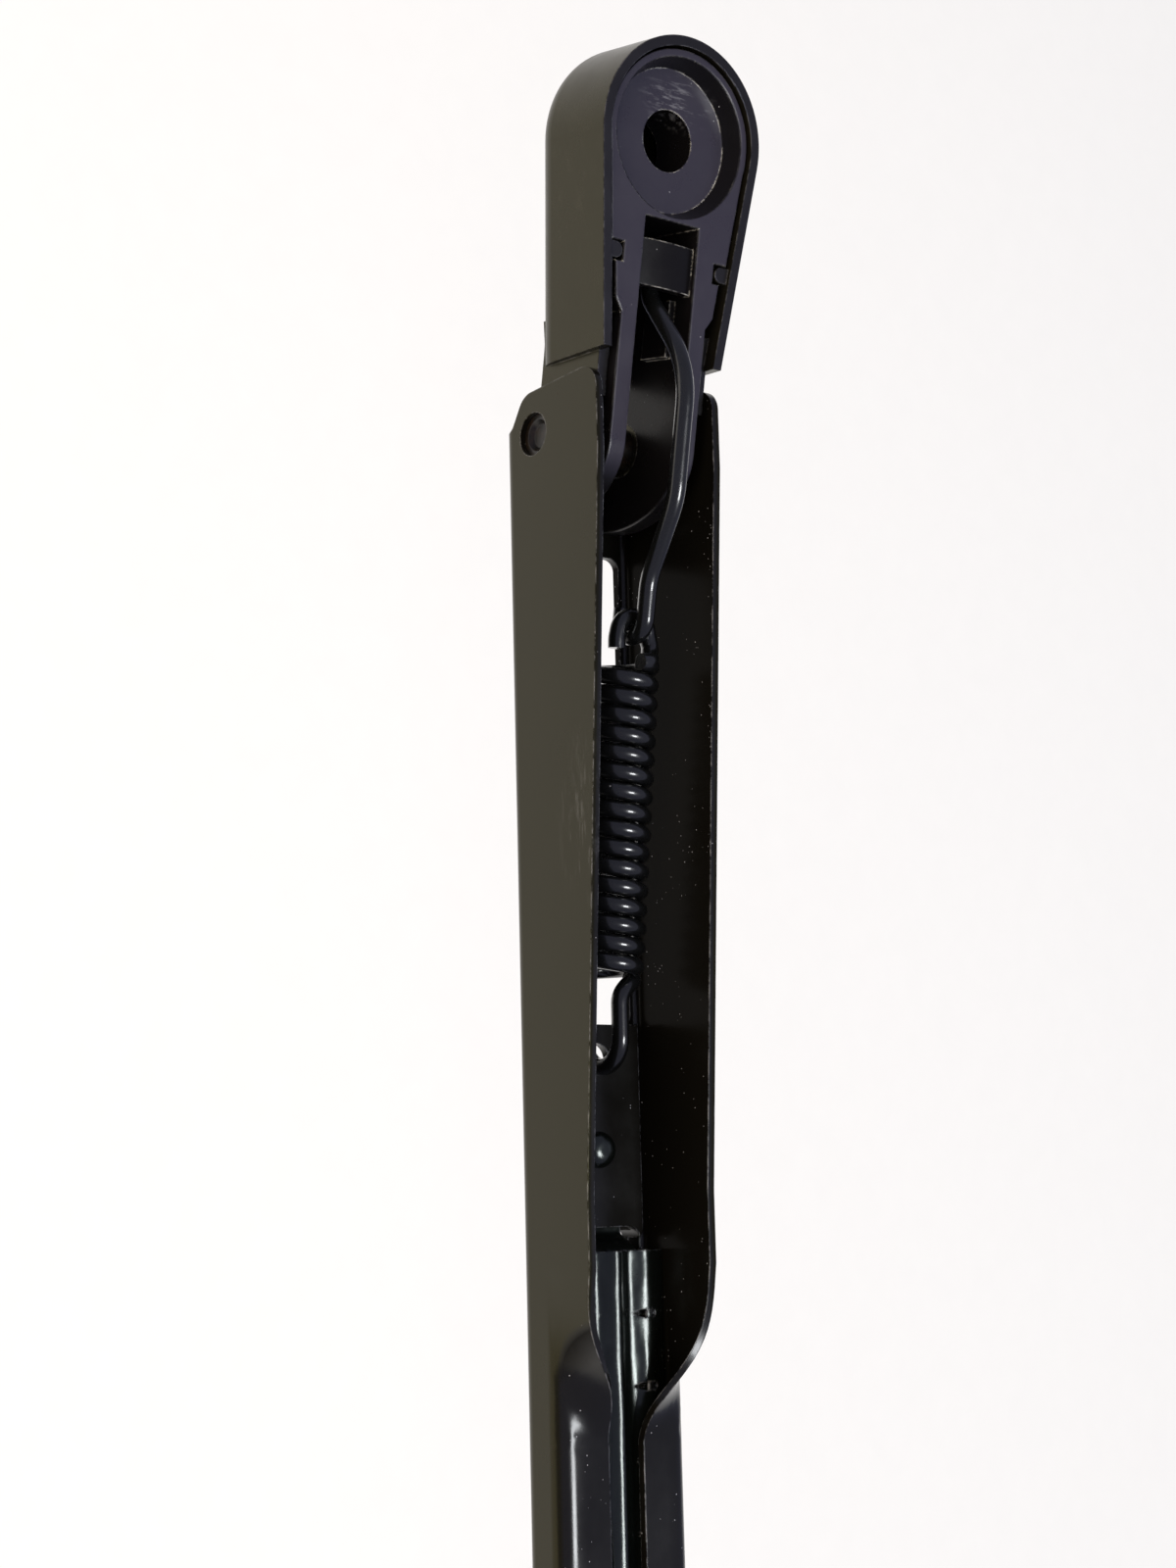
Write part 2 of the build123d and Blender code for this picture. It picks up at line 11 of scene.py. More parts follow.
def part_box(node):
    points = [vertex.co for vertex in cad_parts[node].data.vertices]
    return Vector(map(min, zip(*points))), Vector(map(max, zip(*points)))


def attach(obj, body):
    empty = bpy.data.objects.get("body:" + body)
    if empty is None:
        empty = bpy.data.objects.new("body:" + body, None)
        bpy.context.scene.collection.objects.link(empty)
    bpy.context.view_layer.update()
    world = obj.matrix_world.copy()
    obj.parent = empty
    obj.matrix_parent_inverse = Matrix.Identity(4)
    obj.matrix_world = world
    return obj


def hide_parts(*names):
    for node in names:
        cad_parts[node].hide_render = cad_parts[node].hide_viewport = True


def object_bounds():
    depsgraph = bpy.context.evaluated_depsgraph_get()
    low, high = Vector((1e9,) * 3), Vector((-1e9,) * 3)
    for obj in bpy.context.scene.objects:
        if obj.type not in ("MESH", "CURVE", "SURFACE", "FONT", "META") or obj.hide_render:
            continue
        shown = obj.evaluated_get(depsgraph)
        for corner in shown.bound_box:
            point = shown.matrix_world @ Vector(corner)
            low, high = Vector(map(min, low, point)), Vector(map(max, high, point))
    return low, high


bl_info = {
    "name": "Wiper arm",
    "version": (1, 0, 0),
    "blender": (4, 2, 0),
    "location": "3D View > Sidebar > Wiper arm",
    "description": "Finishes the pieces of a wiper arm and sets up a plain studio for it",
    "category": "Object",
}

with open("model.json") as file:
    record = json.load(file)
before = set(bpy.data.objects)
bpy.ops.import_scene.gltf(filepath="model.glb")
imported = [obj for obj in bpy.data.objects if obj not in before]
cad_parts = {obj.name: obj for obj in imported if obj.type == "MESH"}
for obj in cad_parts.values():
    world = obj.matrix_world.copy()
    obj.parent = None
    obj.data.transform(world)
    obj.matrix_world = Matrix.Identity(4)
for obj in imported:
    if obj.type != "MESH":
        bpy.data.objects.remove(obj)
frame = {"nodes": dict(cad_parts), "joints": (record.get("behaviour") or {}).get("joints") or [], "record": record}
cad_box = [list(corner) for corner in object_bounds()]
nodes = frame["nodes"]

MM = 0.001
WHITE = (1.0, 1.0, 1.0, 1.0)
lift = next(joint for joint in frame["joints"] if joint["name"] == "arm_lift")
hinge = Vector(lift["pos_m"])
spindle_axis = frame["record"]["mounts"][0]["axis"]
arm_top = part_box("retainer")[0].z
retainer_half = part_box("retainer")[1].y


def on_arm(along, height, side=0.0):
    """Return a point of the arm from its distance to the hinge, height over the flat top and side, in mm."""
    return Vector((hinge.x + along * MM, side * MM, arm_top + height * MM))


def linear(code):
    """Turn an sRGB hex colour into the linear values that Blender's sockets take."""
    channels = [int(code.lstrip("#")[place : place + 2], 16) / 255 for place in (0, 2, 4)]
    return [c / 12.92 if c <= 0.04045 else ((c + 0.055) / 1.055) ** 2.4 for c in channels] + [1.0]


def add(tree, kind, inputs=None, **settings):
    """Add a node, set its properties, and set or link its inputs."""
    node = tree.nodes.new(kind)
    for name, value in settings.items():
        setattr(node, name, value)
    for socket, value in (inputs or {}).items():
        if isinstance(value, bpy.types.NodeSocket):
            tree.links.new(value, node.inputs[socket])
        else:
            node.inputs[socket].default_value = value
    return node


def per_metre(size_mm):
    """Return a texture scale whose features are that many millimetres across."""
    return 1 / (size_mm * MM)


def new_material(name):
    """Start an empty material and return it with its node tree and the place on the piece."""
    material = bpy.data.materials.new(name)
    material.use_nodes = True
    tree = material.node_tree
    tree.nodes.clear()
    return material, tree, add(tree, "ShaderNodeTexCoord").outputs["Object"]


def dress(node, material):
    """Give a piece one material."""
    mesh = nodes[node].data
    mesh.materials.clear()
    mesh.materials.append(material)


def uneven_gloss(tree, place, roughness, spread, patch_mm):
    """Return a roughness that wanders in soft patches, as a film does over a hand-sized surface."""
    patches = add(
        tree,
        "ShaderNodeTexNoise",
        {"Vector": place, "Scale": per_metre(patch_mm), "Detail": 5.0, "Roughness": 0.62},
    )
    return add(
        tree,
        "ShaderNodeMapRange",
        {
            "Value": patches.outputs["Fac"],
            "From Min": 0.3,
            "From Max": 0.7,
            "To Min": roughness - spread,
            "To Max": roughness + spread,
        },
    ).outputs["Result"]


def rounded_skin(tree, place, edge_mm, ripple_mm, depth_mm):
    """Return a normal with eased edges and a fine ripple, and the eased normal without the ripple."""
    eased = add(tree, "ShaderNodeBevel", {"Radius": edge_mm * MM}, samples=4).outputs["Normal"]
    ripple = add(
        tree,
        "ShaderNodeTexNoise",
        {"Vector": place, "Scale": per_metre(ripple_mm), "Detail": 2.0},
    )
    skin = add(
        tree,
        "ShaderNodeBump",
        {
            "Height": ripple.outputs["Fac"],
            "Strength": 1.0,
            "Distance": depth_mm * MM,
            "Normal": eased,
        },
    )
    return skin.outputs["Normal"], eased


def painted_edge_highlights(tree, place, eased):
    """Return a broken mask of painted highlights along the edges, found where the eased normal leaves the face's
    own.
    """
    breakup_mm = 2.6
    turn = add(
        tree,
        "ShaderNodeVectorMath",
        {0: eased, 1: add(tree, "ShaderNodeNewGeometry").outputs["Normal"]},
        operation="DOT_PRODUCT",
    )
    edge = add(
        tree,
        "ShaderNodeMapRange",
        {"Value": turn.outputs["Value"], "From Min": 0.97, "From Max": 0.80},
    )
    breakup = add(
        tree,
        "ShaderNodeTexNoise",
        {"Vector": place, "Scale": per_metre(breakup_mm), "Detail": 5.0, "Roughness": 0.75},
    )
    broken = add(
        tree,
        "ShaderNodeMapRange",
        {"Value": breakup.outputs["Fac"], "From Min": 0.44, "From Max": 0.60},
    )
    return add(
        tree,
        "ShaderNodeMath",
        {0: edge.outputs["Result"], 1: broken.outputs["Result"]},
        operation="MULTIPLY",
    ).outputs[0]


def looking(tree, way):
    """Return a mask of the faces that look along a direction."""
    facing = add(
        tree,
        "ShaderNodeVectorMath",
        {0: add(tree, "ShaderNodeNewGeometry").outputs["Normal"], 1: way},
        operation="DOT_PRODUCT",
    )
    return add(
        tree,
        "ShaderNodeMapRange",
        {"Value": facing.outputs["Value"], "From Min": 0.80, "From Max": 0.97},
    ).outputs["Result"]


def settled_dust(tree, place, cover):
    """Return a mask of dust specks lying in drifts, where cover is the share of places with a speck."""
    # coarser than real dust, so that the specks show in a picture of the whole arm
    speck_mm = 0.5
    drift_mm = 11
    grains = add(
        tree,
        "ShaderNodeTexVoronoi",
        {"Vector": place, "Scale": per_metre(speck_mm), "Randomness": 1.0},
    )
    specks = add(
        tree,
        "ShaderNodeMapRange",
        {"Value": grains.outputs["Distance"], "From Min": 0.24, "From Max": 0.14},
    )
    drift = add(
        tree,
        "ShaderNodeTexNoise",
        {"Vector": place, "Scale": per_metre(drift_mm), "Detail": 4.0, "Roughness": 0.6},
    )
    chance = add(
        tree,
        "ShaderNodeMapRange",
        {"Value": drift.outputs["Fac"], "From Min": 0.36, "From Max": 0.68, "To Max": cover},
    )
    lies_here = add(
        tree,
        "ShaderNodeMath",
        {0: grains.outputs["Color"], 1: chance.outputs["Result"]},
        operation="LESS_THAN",
    )
    return add(
        tree,
        "ShaderNodeMath",
        {0: specks.outputs["Result"], 1: lies_here.outputs[0]},
        operation="MULTIPLY",
    ).outputs[0]


def inside_channel(tree, place):
    """Return a mask that is one on the inner faces of the channel and nought on its outer walls."""
    # the mask changes within the thickness of the wall
    outer_depth = 0.5 * MM
    inner_depth = 0.9 * MM
    side = add(tree, "ShaderNodeSeparateXYZ", {"Vector": place}).outputs["Y"]
    apart = add(tree, "ShaderNodeMath", {0: side}, operation="ABSOLUTE").outputs[0]
    return add(
        tree,
        "ShaderNodeMapRange",
        {
            "Value": apart,
            "From Min": retainer_half - outer_depth,
            "From Max": retainer_half - inner_depth,
        },
    ).outputs["Result"]


def outside_fork(tree, place):
    """Return a mask that is nought between the legs of the fork and one on the rest of the casting."""
    half_gap = 5.6 * MM
    fork_start = 15.5 * MM
    axes = add(tree, "ShaderNodeSeparateXYZ", {"Vector": place})
    apart = add(tree, "ShaderNodeMath", {0: axes.outputs["Y"]}, operation="ABSOLUTE").outputs[0]
    on_leg = add(tree, "ShaderNodeMath", {0: apart, 1: half_gap}, operation="GREATER_THAN")
    before = add(tree, "ShaderNodeMath", {0: axes.outputs["X"], 1: fork_start}, operation="LESS_THAN")
    return add(
        tree,
        "ShaderNodeMath",
        {0: on_leg.outputs[0], 1: before.outputs[0]},
        operation="MAXIMUM",
    ).outputs[0]


def rubbed_patch(tree, place, centre, half_sizes_mm, streak_mm):
    """Return a mask of light scuff streaks that fade out round a place on the piece."""
    local = add(
        tree,
        "ShaderNodeMapping",
        {"Vector": place, "Location": centre, "Scale": [size * MM for size in half_sizes_mm]},
        vector_type="TEXTURE",
    )
    fade = add(
        tree,
        "ShaderNodeTexGradient",
        {"Vector": local.outputs["Vector"]},
        gradient_type="SPHERICAL",
    )
    stretched = add(
        tree,
        "ShaderNodeMapping",
        {"Vector": place, "Scale": [per_metre(size) for size in streak_mm]},
    )
    streaks = add(
        tree,
        "ShaderNodeTexNoise",
        {"Vector": stretched.outputs["Vector"], "Scale": 1.0, "Detail": 4.0, "Roughness": 0.7},
    )
    sharp = add(
        tree,
        "ShaderNodeMapRange",
        {"Value": streaks.outputs["Fac"], "From Min": 0.52, "From Max": 0.72},
    )
    return add(
        tree,
        "ShaderNodeMath",
        {0: fade.outputs["Fac"], 1: sharp.outputs["Result"]},
        operation="MULTIPLY",
    ).outputs[0]


def pressed_steel_paint(name, finish, dust_cover):
    """Black stove paint on pressed steel: an even satin film, dusty inside, with painted highlights along the
    edges, a painted olive reflection on the outer walls and painted shade on the far wall's inner face.
    """
    scuff_strength = 0.16
    highlight_strength = 0.6
    material, tree, place = new_material(name)
    skin, eased = rounded_skin(tree, place, edge_mm=0.35, ripple_mm=1.3, depth_mm=0.004)
    edge_highlight = painted_edge_highlights(tree, place, eased)
    inner = inside_channel(tree, place)
    dust = add(
        tree,
        "ShaderNodeMath",
        {0: settled_dust(tree, place, dust_cover), 1: inner},
        operation="MULTIPLY",
    )
    # scuffs on the outside of the left wall, beside the spring
    scuffs = rubbed_patch(
        tree,
        place,
        centre=on_arm(66, 19, -13),
        half_sizes_mm=(16, 8, 7),
        streak_mm=(5, 2, 0.7),
    )
    faint = add(tree, "ShaderNodeMath", {0: scuffs, 1: scuff_strength}, operation="MULTIPLY")
    # painted highlights along the edges, shown in the dust colour
    rubbed = add(tree, "ShaderNodeMath", {0: edge_highlight, 1: highlight_strength}, operation="MULTIPLY")
    marks = add(
        tree,
        "ShaderNodeMath",
        {0: dust.outputs[0], 1: faint.outputs[0]},
        operation="MAXIMUM",
    )
    pale = add(
        tree,
        "ShaderNodeMath",
        {0: marks.outputs[0], 1: rubbed.outputs[0]},
        operation="MAXIMUM",
    )
    shade = add(
        tree,
        "ShaderNodeMix",
        {"Factor": pale.outputs[0], "A": linear(finish.pressing), "B": linear(finish.dust)},
        data_type="RGBA",
    )
    # painted reflection: olive on the outer walls, neutral inside the channel
    gloss = add(
        tree,
        "ShaderNodeMix",
        {"Factor": inner, "A": linear(finish.painted_olive_reflection), "B": linear(finish.painted_inner_reflection)},
        data_type="RGBA",
    )
    # painted shade: the gloss of the far wall's inner face is cut almost to nothing, so that it renders black as
    # in shade
    shaded_far_face = add(
        tree,
        "ShaderNodeMath",
        {0: looking(tree, (0.0, -1.0, 0.0)), 1: inner},
        operation="MULTIPLY",
    )
    level = add(
        tree,
        "ShaderNodeMapRange",
        {"Value": shaded_far_face.outputs[0], "To Min": 0.5, "To Max": 0.03},
    )
    shader = add(
        tree,
        "ShaderNodeBsdfPrincipled",
        {
            "Base Color": shade.outputs["Result"],
            "Roughness": uneven_gloss(tree, place, roughness=0.23, spread=0.06, patch_mm=16),
            "IOR": 1.5,
            "Specular IOR Level": level.outputs["Result"],
            "Specular Tint": gloss.outputs["Result"],
            "Normal": skin,
        },
    )
    add(tree, "ShaderNodeOutputMaterial", {"Surface": shader.outputs["BSDF"]})
    return material


def cast_zinc_paint(name, finish, dust_cover):
    """Black paint over a zinc die casting: grainy satin, with painted bluish light on the faces that look up,
    painted shade between the fork's legs, and painted highlights along the edges.
    """
    swirl_strength = 0.7
    material, tree, place = new_material(name)
    skin, eased = rounded_skin(tree, place, edge_mm=0.4, ripple_mm=0.7, depth_mm=0.006)
    outside = outside_fork(tree, place)
    # painted light: faces that look up are lighter and bluer; between the fork's legs they stay dark as painted
    # shade
    painted_top_light_mask = add(
        tree,
        "ShaderNodeMath",
        {0: looking(tree, spindle_axis), 1: outside},
        operation="MULTIPLY",
    )
    painted_top_light = add(
        tree,
        "ShaderNodeMix",
        {"Factor": painted_top_light_mask.outputs[0], "A": linear(finish.casting), "B": linear(finish.painted_top_light)},
        data_type="RGBA",
    )
    # pale swirl where the spindle's shoulder rubbed, above the bore
    swirl = rubbed_patch(
        tree,
        place,
        centre=(-6.8 * MM, 1.5 * MM, 0.0),
        half_sizes_mm=(5, 9, 6),
        streak_mm=(0.8, 4, 2),
    )
    pale = add(tree, "ShaderNodeMath", {0: swirl, 1: swirl_strength}, operation="MULTIPLY")
    marks = add(
        tree,
        "ShaderNodeMath",
        {0: pale.outputs[0], 1: settled_dust(tree, place, dust_cover)},
        operation="MAXIMUM",
    )
    dusty = add(
        tree,
        "ShaderNodeMix",
        {"Factor": marks.outputs[0], "A": painted_top_light.outputs["Result"], "B": linear(finish.dust)},
        data_type="RGBA",
    )
    # painted highlights along the casting's edges, in their own pale colour
    shade = add(
        tree,
        "ShaderNodeMix",
        {
            "Factor": painted_edge_highlights(tree, place, eased),
            "A": dusty.outputs["Result"],
            "B": linear(finish.edge_highlight),
        },
        data_type="RGBA",
    )
    # painted shade: the gloss is cut between the legs, where shade falls
    gloss = add(
        tree,
        "ShaderNodeMapRange",
        {"Value": outside, "To Min": 0.2, "To Max": 0.5},
    )
    shader = add(
        tree,
        "ShaderNodeBsdfPrincipled",
        {
            "Base Color": shade.outputs["Result"],
            "Roughness": uneven_gloss(tree, place, roughness=0.30, spread=0.06, patch_mm=9),
            "IOR": 1.5,
            "Specular IOR Level": gloss.outputs["Result"],
            "Normal": skin,
        },
    )
    add(tree, "ShaderNodeOutputMaterial", {"Surface": shader.outputs["BSDF"]})
    return material


def moulded_nylon(name, finish):
    """Moulded black nylon: a smooth satin skin with a fine spark-eroded grain, painted highlights along the edges,
    a painted lighter patch on the left flank, and painted reflections that are olive on the sides and bluish on
    the faces that look up.
    """
    scuff_strength = 0.3
    material, tree, place = new_material(name)
    skin, eased = rounded_skin(tree, place, edge_mm=0.4, ripple_mm=0.5, depth_mm=0.006)
    # painted light: a lighter patch on the left flank, the side that faces the window
    lighter_flank_patch = rubbed_patch(
        tree,
        place,
        centre=(12 * MM, -16 * MM, -6 * MM),
        half_sizes_mm=(30, 10, 14),
        streak_mm=(6, 3, 3),
    )
    lit_flank = add(
        tree,
        "ShaderNodeMix",
        {"Factor": lighter_flank_patch, "A": linear(finish.cover), "B": linear(finish.lit_flank)},
        data_type="RGBA",
    )
    # painted highlights along the cover's edges, shown in the dust colour
    edge_highlight_share = add(
        tree,
        "ShaderNodeMath",
        {0: painted_edge_highlights(tree, place, eased), 1: scuff_strength},
        operation="MULTIPLY",
    )
    shade = add(
        tree,
        "ShaderNodeMix",
        {"Factor": edge_highlight_share.outputs[0], "A": lit_flank.outputs["Result"], "B": linear(finish.dust)},
        data_type="RGBA",
    )
    # painted reflection: olive on the sides, bluish on the faces that look up
    gloss = add(
        tree,
        "ShaderNodeMix",
        {
            "Factor": looking(tree, spindle_axis),
            "A": linear(finish.painted_olive_reflection),
            "B": linear(finish.painted_upper_reflection),
        },
        data_type="RGBA",
    )
    shader = add(
        tree,
        "ShaderNodeBsdfPrincipled",
        {
            "Base Color": shade.outputs["Result"],
            "Roughness": uneven_gloss(tree, place, roughness=0.30, spread=0.06, patch_mm=12),
            "IOR": 1.53,
            "Specular Tint": gloss.outputs["Result"],
            "Normal": skin,
        },
    )
    add(tree, "ShaderNodeOutputMaterial", {"Surface": shader.outputs["BSDF"]})
    return material


def gloss_enamel(name, finish, dust_cover):
    """Thick black enamel on a pressed strip: wet gloss, runs drawn along the strip, painted highlights along the
    edges.
    """
    highlight_strength = 0.6
    run_length_mm = 9
    run_width_mm = 3.6
    material, tree, place = new_material(name)
    skin, eased = rounded_skin(tree, place, edge_mm=0.5, ripple_mm=2.4, depth_mm=0.006)
    # painted highlights along the groove edges, shown in the dust colour
    bright = add(
        tree,
        "ShaderNodeMath",
        {0: painted_edge_highlights(tree, place, eased), 1: highlight_strength},
        operation="MULTIPLY",
    )
    marks = add(
        tree,
        "ShaderNodeMath",
        {0: settled_dust(tree, place, dust_cover), 1: bright.outputs[0]},
        operation="MAXIMUM",
    )
    shade = add(
        tree,
        "ShaderNodeMix",
        {"Factor": marks.outputs[0], "A": linear(finish.socket), "B": linear(finish.dust)},
        data_type="RGBA",
    )
    drawn = add(
        tree,
        "ShaderNodeMapping",
        {
            "Vector": place,
            "Scale": (per_metre(run_length_mm), per_metre(run_width_mm), per_metre(run_width_mm)),
        },
    )
    runs = add(
        tree,
        "ShaderNodeTexNoise",
        {"Vector": drawn.outputs["Vector"], "Scale": 1.0, "Detail": 1.0},
    )
    wet = add(
        tree,
        "ShaderNodeBump",
        {"Height": runs.outputs["Fac"], "Strength": 1.0, "Distance": 0.35 * MM, "Normal": skin},
    )
    shader = add(
        tree,
        "ShaderNodeBsdfPrincipled",
        {
            "Base Color": shade.outputs["Result"],
            "Roughness": uneven_gloss(tree, place, roughness=0.24, spread=0.04, patch_mm=8),
            "IOR": 1.52,
            "Specular Tint": linear(finish.enamel_sheen),
            "Coat Weight": 0.45,
            "Coat Roughness": 0.10,
            "Normal": wet.outputs["Normal"],
            "Coat Normal": wet.outputs["Normal"],
        },
    )
    add(tree, "ShaderNodeOutputMaterial", {"Surface": shader.outputs["BSDF"]})
    return material


def blacked_wire(name, finish, dust_cover):
    """Drawn spring wire, dip blacked: a glossy coat over a faintly uneven surface, with a little dust."""
    material, tree, place = new_material(name)
    skin, _ = rounded_skin(tree, place, edge_mm=0.15, ripple_mm=1.1, depth_mm=0.003)
    shade = add(
        tree,
        "ShaderNodeMix",
        {
            "Factor": settled_dust(tree, place, dust_cover),
            "A": linear(finish.wire),
            "B": linear(finish.dust),
        },
        data_type="RGBA",
    )
    shader = add(
        tree,
        "ShaderNodeBsdfPrincipled",
        {
            "Base Color": shade.outputs["Result"],
            "Roughness": uneven_gloss(tree, place, roughness=0.26, spread=0.05, patch_mm=5),
            "IOR": 1.5,
            "Coat Weight": 0.6,
            "Coat Roughness": 0.08,
            "Normal": skin,
        },
    )
    add(tree, "ShaderNodeOutputMaterial", {"Surface": shader.outputs["BSDF"]})
    return material


def oiled_steel(name, finish):
    """Turned steel pin, oiled dark, with a brown bloom of rust where the paint stops."""
    bloom_mm = 2.4
    material, tree, place = new_material(name)
    skin, _ = rounded_skin(tree, place, edge_mm=0.25, ripple_mm=0.6, depth_mm=0.008)
    bloom = add(
        tree,
        "ShaderNodeTexNoise",
        {"Vector": place, "Scale": per_metre(bloom_mm), "Detail": 6.0, "Roughness": 0.7},
    )
    rusty = add(
        tree,
        "ShaderNodeMapRange",
        {"Value": bloom.outputs["Fac"], "From Min": 0.42, "From Max": 0.62},
    )
    shade = add(
        tree,
        "ShaderNodeMix",
        {"Factor": rusty.outputs["Result"], "A": linear(finish.pin), "B": linear(finish.rust)},
        data_type="RGBA",
    )
    shader = add(
        tree,
        "ShaderNodeBsdfPrincipled",
        {
            "Base Color": shade.outputs["Result"],
            "Roughness": uneven_gloss(tree, place, roughness=0.34, spread=0.08, patch_mm=3),
            "IOR": 1.5,
            "Normal": skin,
        },
    )
    add(tree, "ShaderNodeOutputMaterial", {"Surface": shader.outputs["BSDF"]})
    return material


class FinishSettings(bpy.types.PropertyGroup):
    """Colours of the pieces, as sRGB hex values."""

    pressing: StringProperty(name="Pressing", description="Paint on the retainer and rod", default="#0b0a08")
    casting: StringProperty(name="Casting", description="Paint on the head casting", default="#0d0c0e")
    # painted light: the bluish colour of the casting's faces that look up
    painted_top_light: StringProperty(name="Haze", description="Bloom on the casting's upper faces", default="#2a2834")
    cover: StringProperty(name="Cover", description="Nylon of the head cover", default="#100f0c")
    # painted light: lighter colour of the cover's left flank
    lit_flank: StringProperty(name="Handled", description="Nylon rubbed by handling", default="#1c1b18")
    socket: StringProperty(name="Socket", description="Enamel on the rod socket", default="#060807")
    wire: StringProperty(name="Wire", description="Blacking on the spring and hook", default="#0a0b0c")
    pin: StringProperty(name="Pin", description="Oiled steel of the hinge pin", default="#0a0907")
    rust: StringProperty(name="Rust", description="Bloom on the hinge pin", default="#1a120b")
    # painted reflection: olive colour of the gloss on the outer faces
    painted_olive_reflection: StringProperty(name="Sheen", description="Olive cast of the outer gloss", default="#d4cc98")
    # painted reflection: colour of the gloss inside the channel
    painted_inner_reflection: StringProperty(
        name="Inner sheen", description="Cast of the gloss inside the channel", default="#f4f5f6"
    )
    # painted reflection: colour of the gloss on the cover's faces that look up
    painted_upper_reflection: StringProperty(
        name="Upper sheen", description="Cast of the gloss on the cover's upper faces", default="#e9e8ff"
    )
    enamel_sheen: StringProperty(
        name="Enamel sheen", description="Cast of the enamel's gloss", default="#f2fff8"
    )
    # painted highlight: pale colour of the casting's edges
    edge_highlight: StringProperty(
        name="Worn", description="Edges where the finish is rubbed bright", default="#c9c9c6"
    )
    # also the colour of the painted highlights along the edges of the pressings, cover and socket
    dust: StringProperty(name="Dust", description="Specks lying in the channel", default="#9a9ca4")


class SpringSettings(bpy.types.PropertyGroup):
    """Sizes of the tension spring."""

    wire: FloatProperty(name="Wire", description="Wire diameter", default=2.9 * MM, unit="LENGTH")
    radius: FloatProperty(
        name="Coil radius",
        description="Middle of the wire to the coil's axis",
        default=4.6 * MM,
        unit="LENGTH",
    )
    pitch: FloatProperty(name="Pitch", description="Coil to coil", default=3.09 * MM, unit="LENGTH")
    turns: FloatProperty(name="Turns", description="Turns of the coil", default=16.75)
    start: FloatVectorProperty(
        name="Start",
        description="Where the coil's axis starts, along the arm and over its flat top",
        default=(38.6 * MM, 14.6 * MM),
        size=2,
        unit="LENGTH",
    )
    slope: FloatProperty(
        name="Slope", description="Fall of the coil to its anchor", default=radians(7.1), subtype="ANGLE"
    )


class StageSettings(bpy.types.PropertyGroup):
    """Camera, floor and light."""

    view_side: FloatProperty(
        name="View side",
        description="Angle of the view to the underside",
        default=radians(38.02),
        subtype="ANGLE",
    )
    view_tilt: FloatProperty(
        name="View tilt", description="Lean of the view to the tip", default=radians(8.81), subtype="ANGLE"
    )
    view_roll: FloatProperty(
        name="View roll", description="Turn of the picture", default=radians(-1.43), subtype="ANGLE"
    )
    distance: FloatProperty(name="Distance", description="Camera to the arm", default=0.42, unit="LENGTH")
    field: FloatProperty(
        name="Field", description="Height of the field of view", default=radians(33.73), subtype="ANGLE"
    )
    aim: FloatVectorProperty(
        name="Aim",
        description="Place on the arm behind the picture's middle",
        default=(0.10645, 0.0, -0.010),
        unit="LENGTH",
    )
    aim_shift: FloatProperty(
        name="Aim shift", description="Aim moved to the left", default=0.00959, unit="LENGTH"
    )
    floor: StringProperty(name="Floor", description="Colour of the floor", default="#f7f7f7")
    room: StringProperty(name="Room", description="Colour of the light all round", default="#d9dcff")
    room_strength: FloatProperty(
        name="Room strength", description="Strength of the light all round", default=0.31
    )
    window: StringProperty(name="Window", description="Colour of the window's light", default="#ffeccb")
    window_power: FloatProperty(
        name="Window power", description="Power of the window's light", default=50.0, unit="POWER"
    )
    lamp: StringProperty(name="Lamp", description="Colour of the overhead lamp", default="#fbfdff")
    lamp_power: FloatProperty(
        name="Lamp power", description="Power of the overhead lamp", default=6.0, unit="POWER"
    )


class ARM_OT_pressings(bpy.types.Operator):
    """Paint the pressed retainer and the flat rod."""

    bl_idname = "wiper_arm.pressings"
    bl_label = "Paint the pressings"

    def execute(self, context):
        finish = context.scene.wiper_finish
        dress("retainer", pressed_steel_paint("stove_paint_on_pressed_steel", finish, dust_cover=0.20))
        dress("arm_rod", pressed_steel_paint("stove_paint_on_flat_bar", finish, dust_cover=0.1))
        return {"FINISHED"}


class ARM_OT_head(bpy.types.Operator):
    """Finish the head: the casting and its cover."""

    bl_idname = "wiper_arm.head"
    bl_label = "Finish the head"

    def execute(self, context):
        finish = context.scene.wiper_finish
        dress("head_casting", cast_zinc_paint("paint_on_zinc_casting", finish, dust_cover=0.12))
        dress("head_cover", moulded_nylon("moulded_black_nylon", finish))
        return {"FINISHED"}


class ARM_OT_hinge(bpy.types.Operator):
    """Finish the hinge pin and its bushes."""

    bl_idname = "wiper_arm.hinge"
    bl_label = "Finish the hinge"

    def execute(self, context):
        finish = context.scene.wiper_finish
        dress("hinge_pin", oiled_steel("oiled_steel_pin", finish))
        bush = moulded_nylon("moulded_nylon_bush", finish)
        dress("hinge_bush_left", bush)
        dress("hinge_bush_right", bush)
        return {"FINISHED"}


class ARM_OT_socket(bpy.types.Operator):
    """Enamel the rod socket and its rivet."""

    bl_idname = "wiper_arm.socket"
    bl_label = "Enamel the socket"

    def execute(self, context):
        finish = context.scene.wiper_finish
        dress("rod_socket", gloss_enamel("gloss_enamel_on_strip", finish, dust_cover=0.06))
        dress("socket_rivet", gloss_enamel("gloss_enamel_on_rivet", finish, dust_cover=0.06))
        return {"FINISHED"}


def coil_axes(spring):
    """Return the coil's own axes: x up out of the channel, z along the coil to its anchor."""
    return Matrix(
        (
            (sin(spring.slope), 0.0, cos(spring.slope)),
            (0.0, -1.0, 0.0),
            (cos(spring.slope), 0.0, -sin(spring.slope)),
        )
    ).transposed()


def coil_start(spring):
    """Return the point where the coil's axis starts."""
    return Vector((hinge.x + spring.start[0], 0.0, arm_top + spring.start[1]))


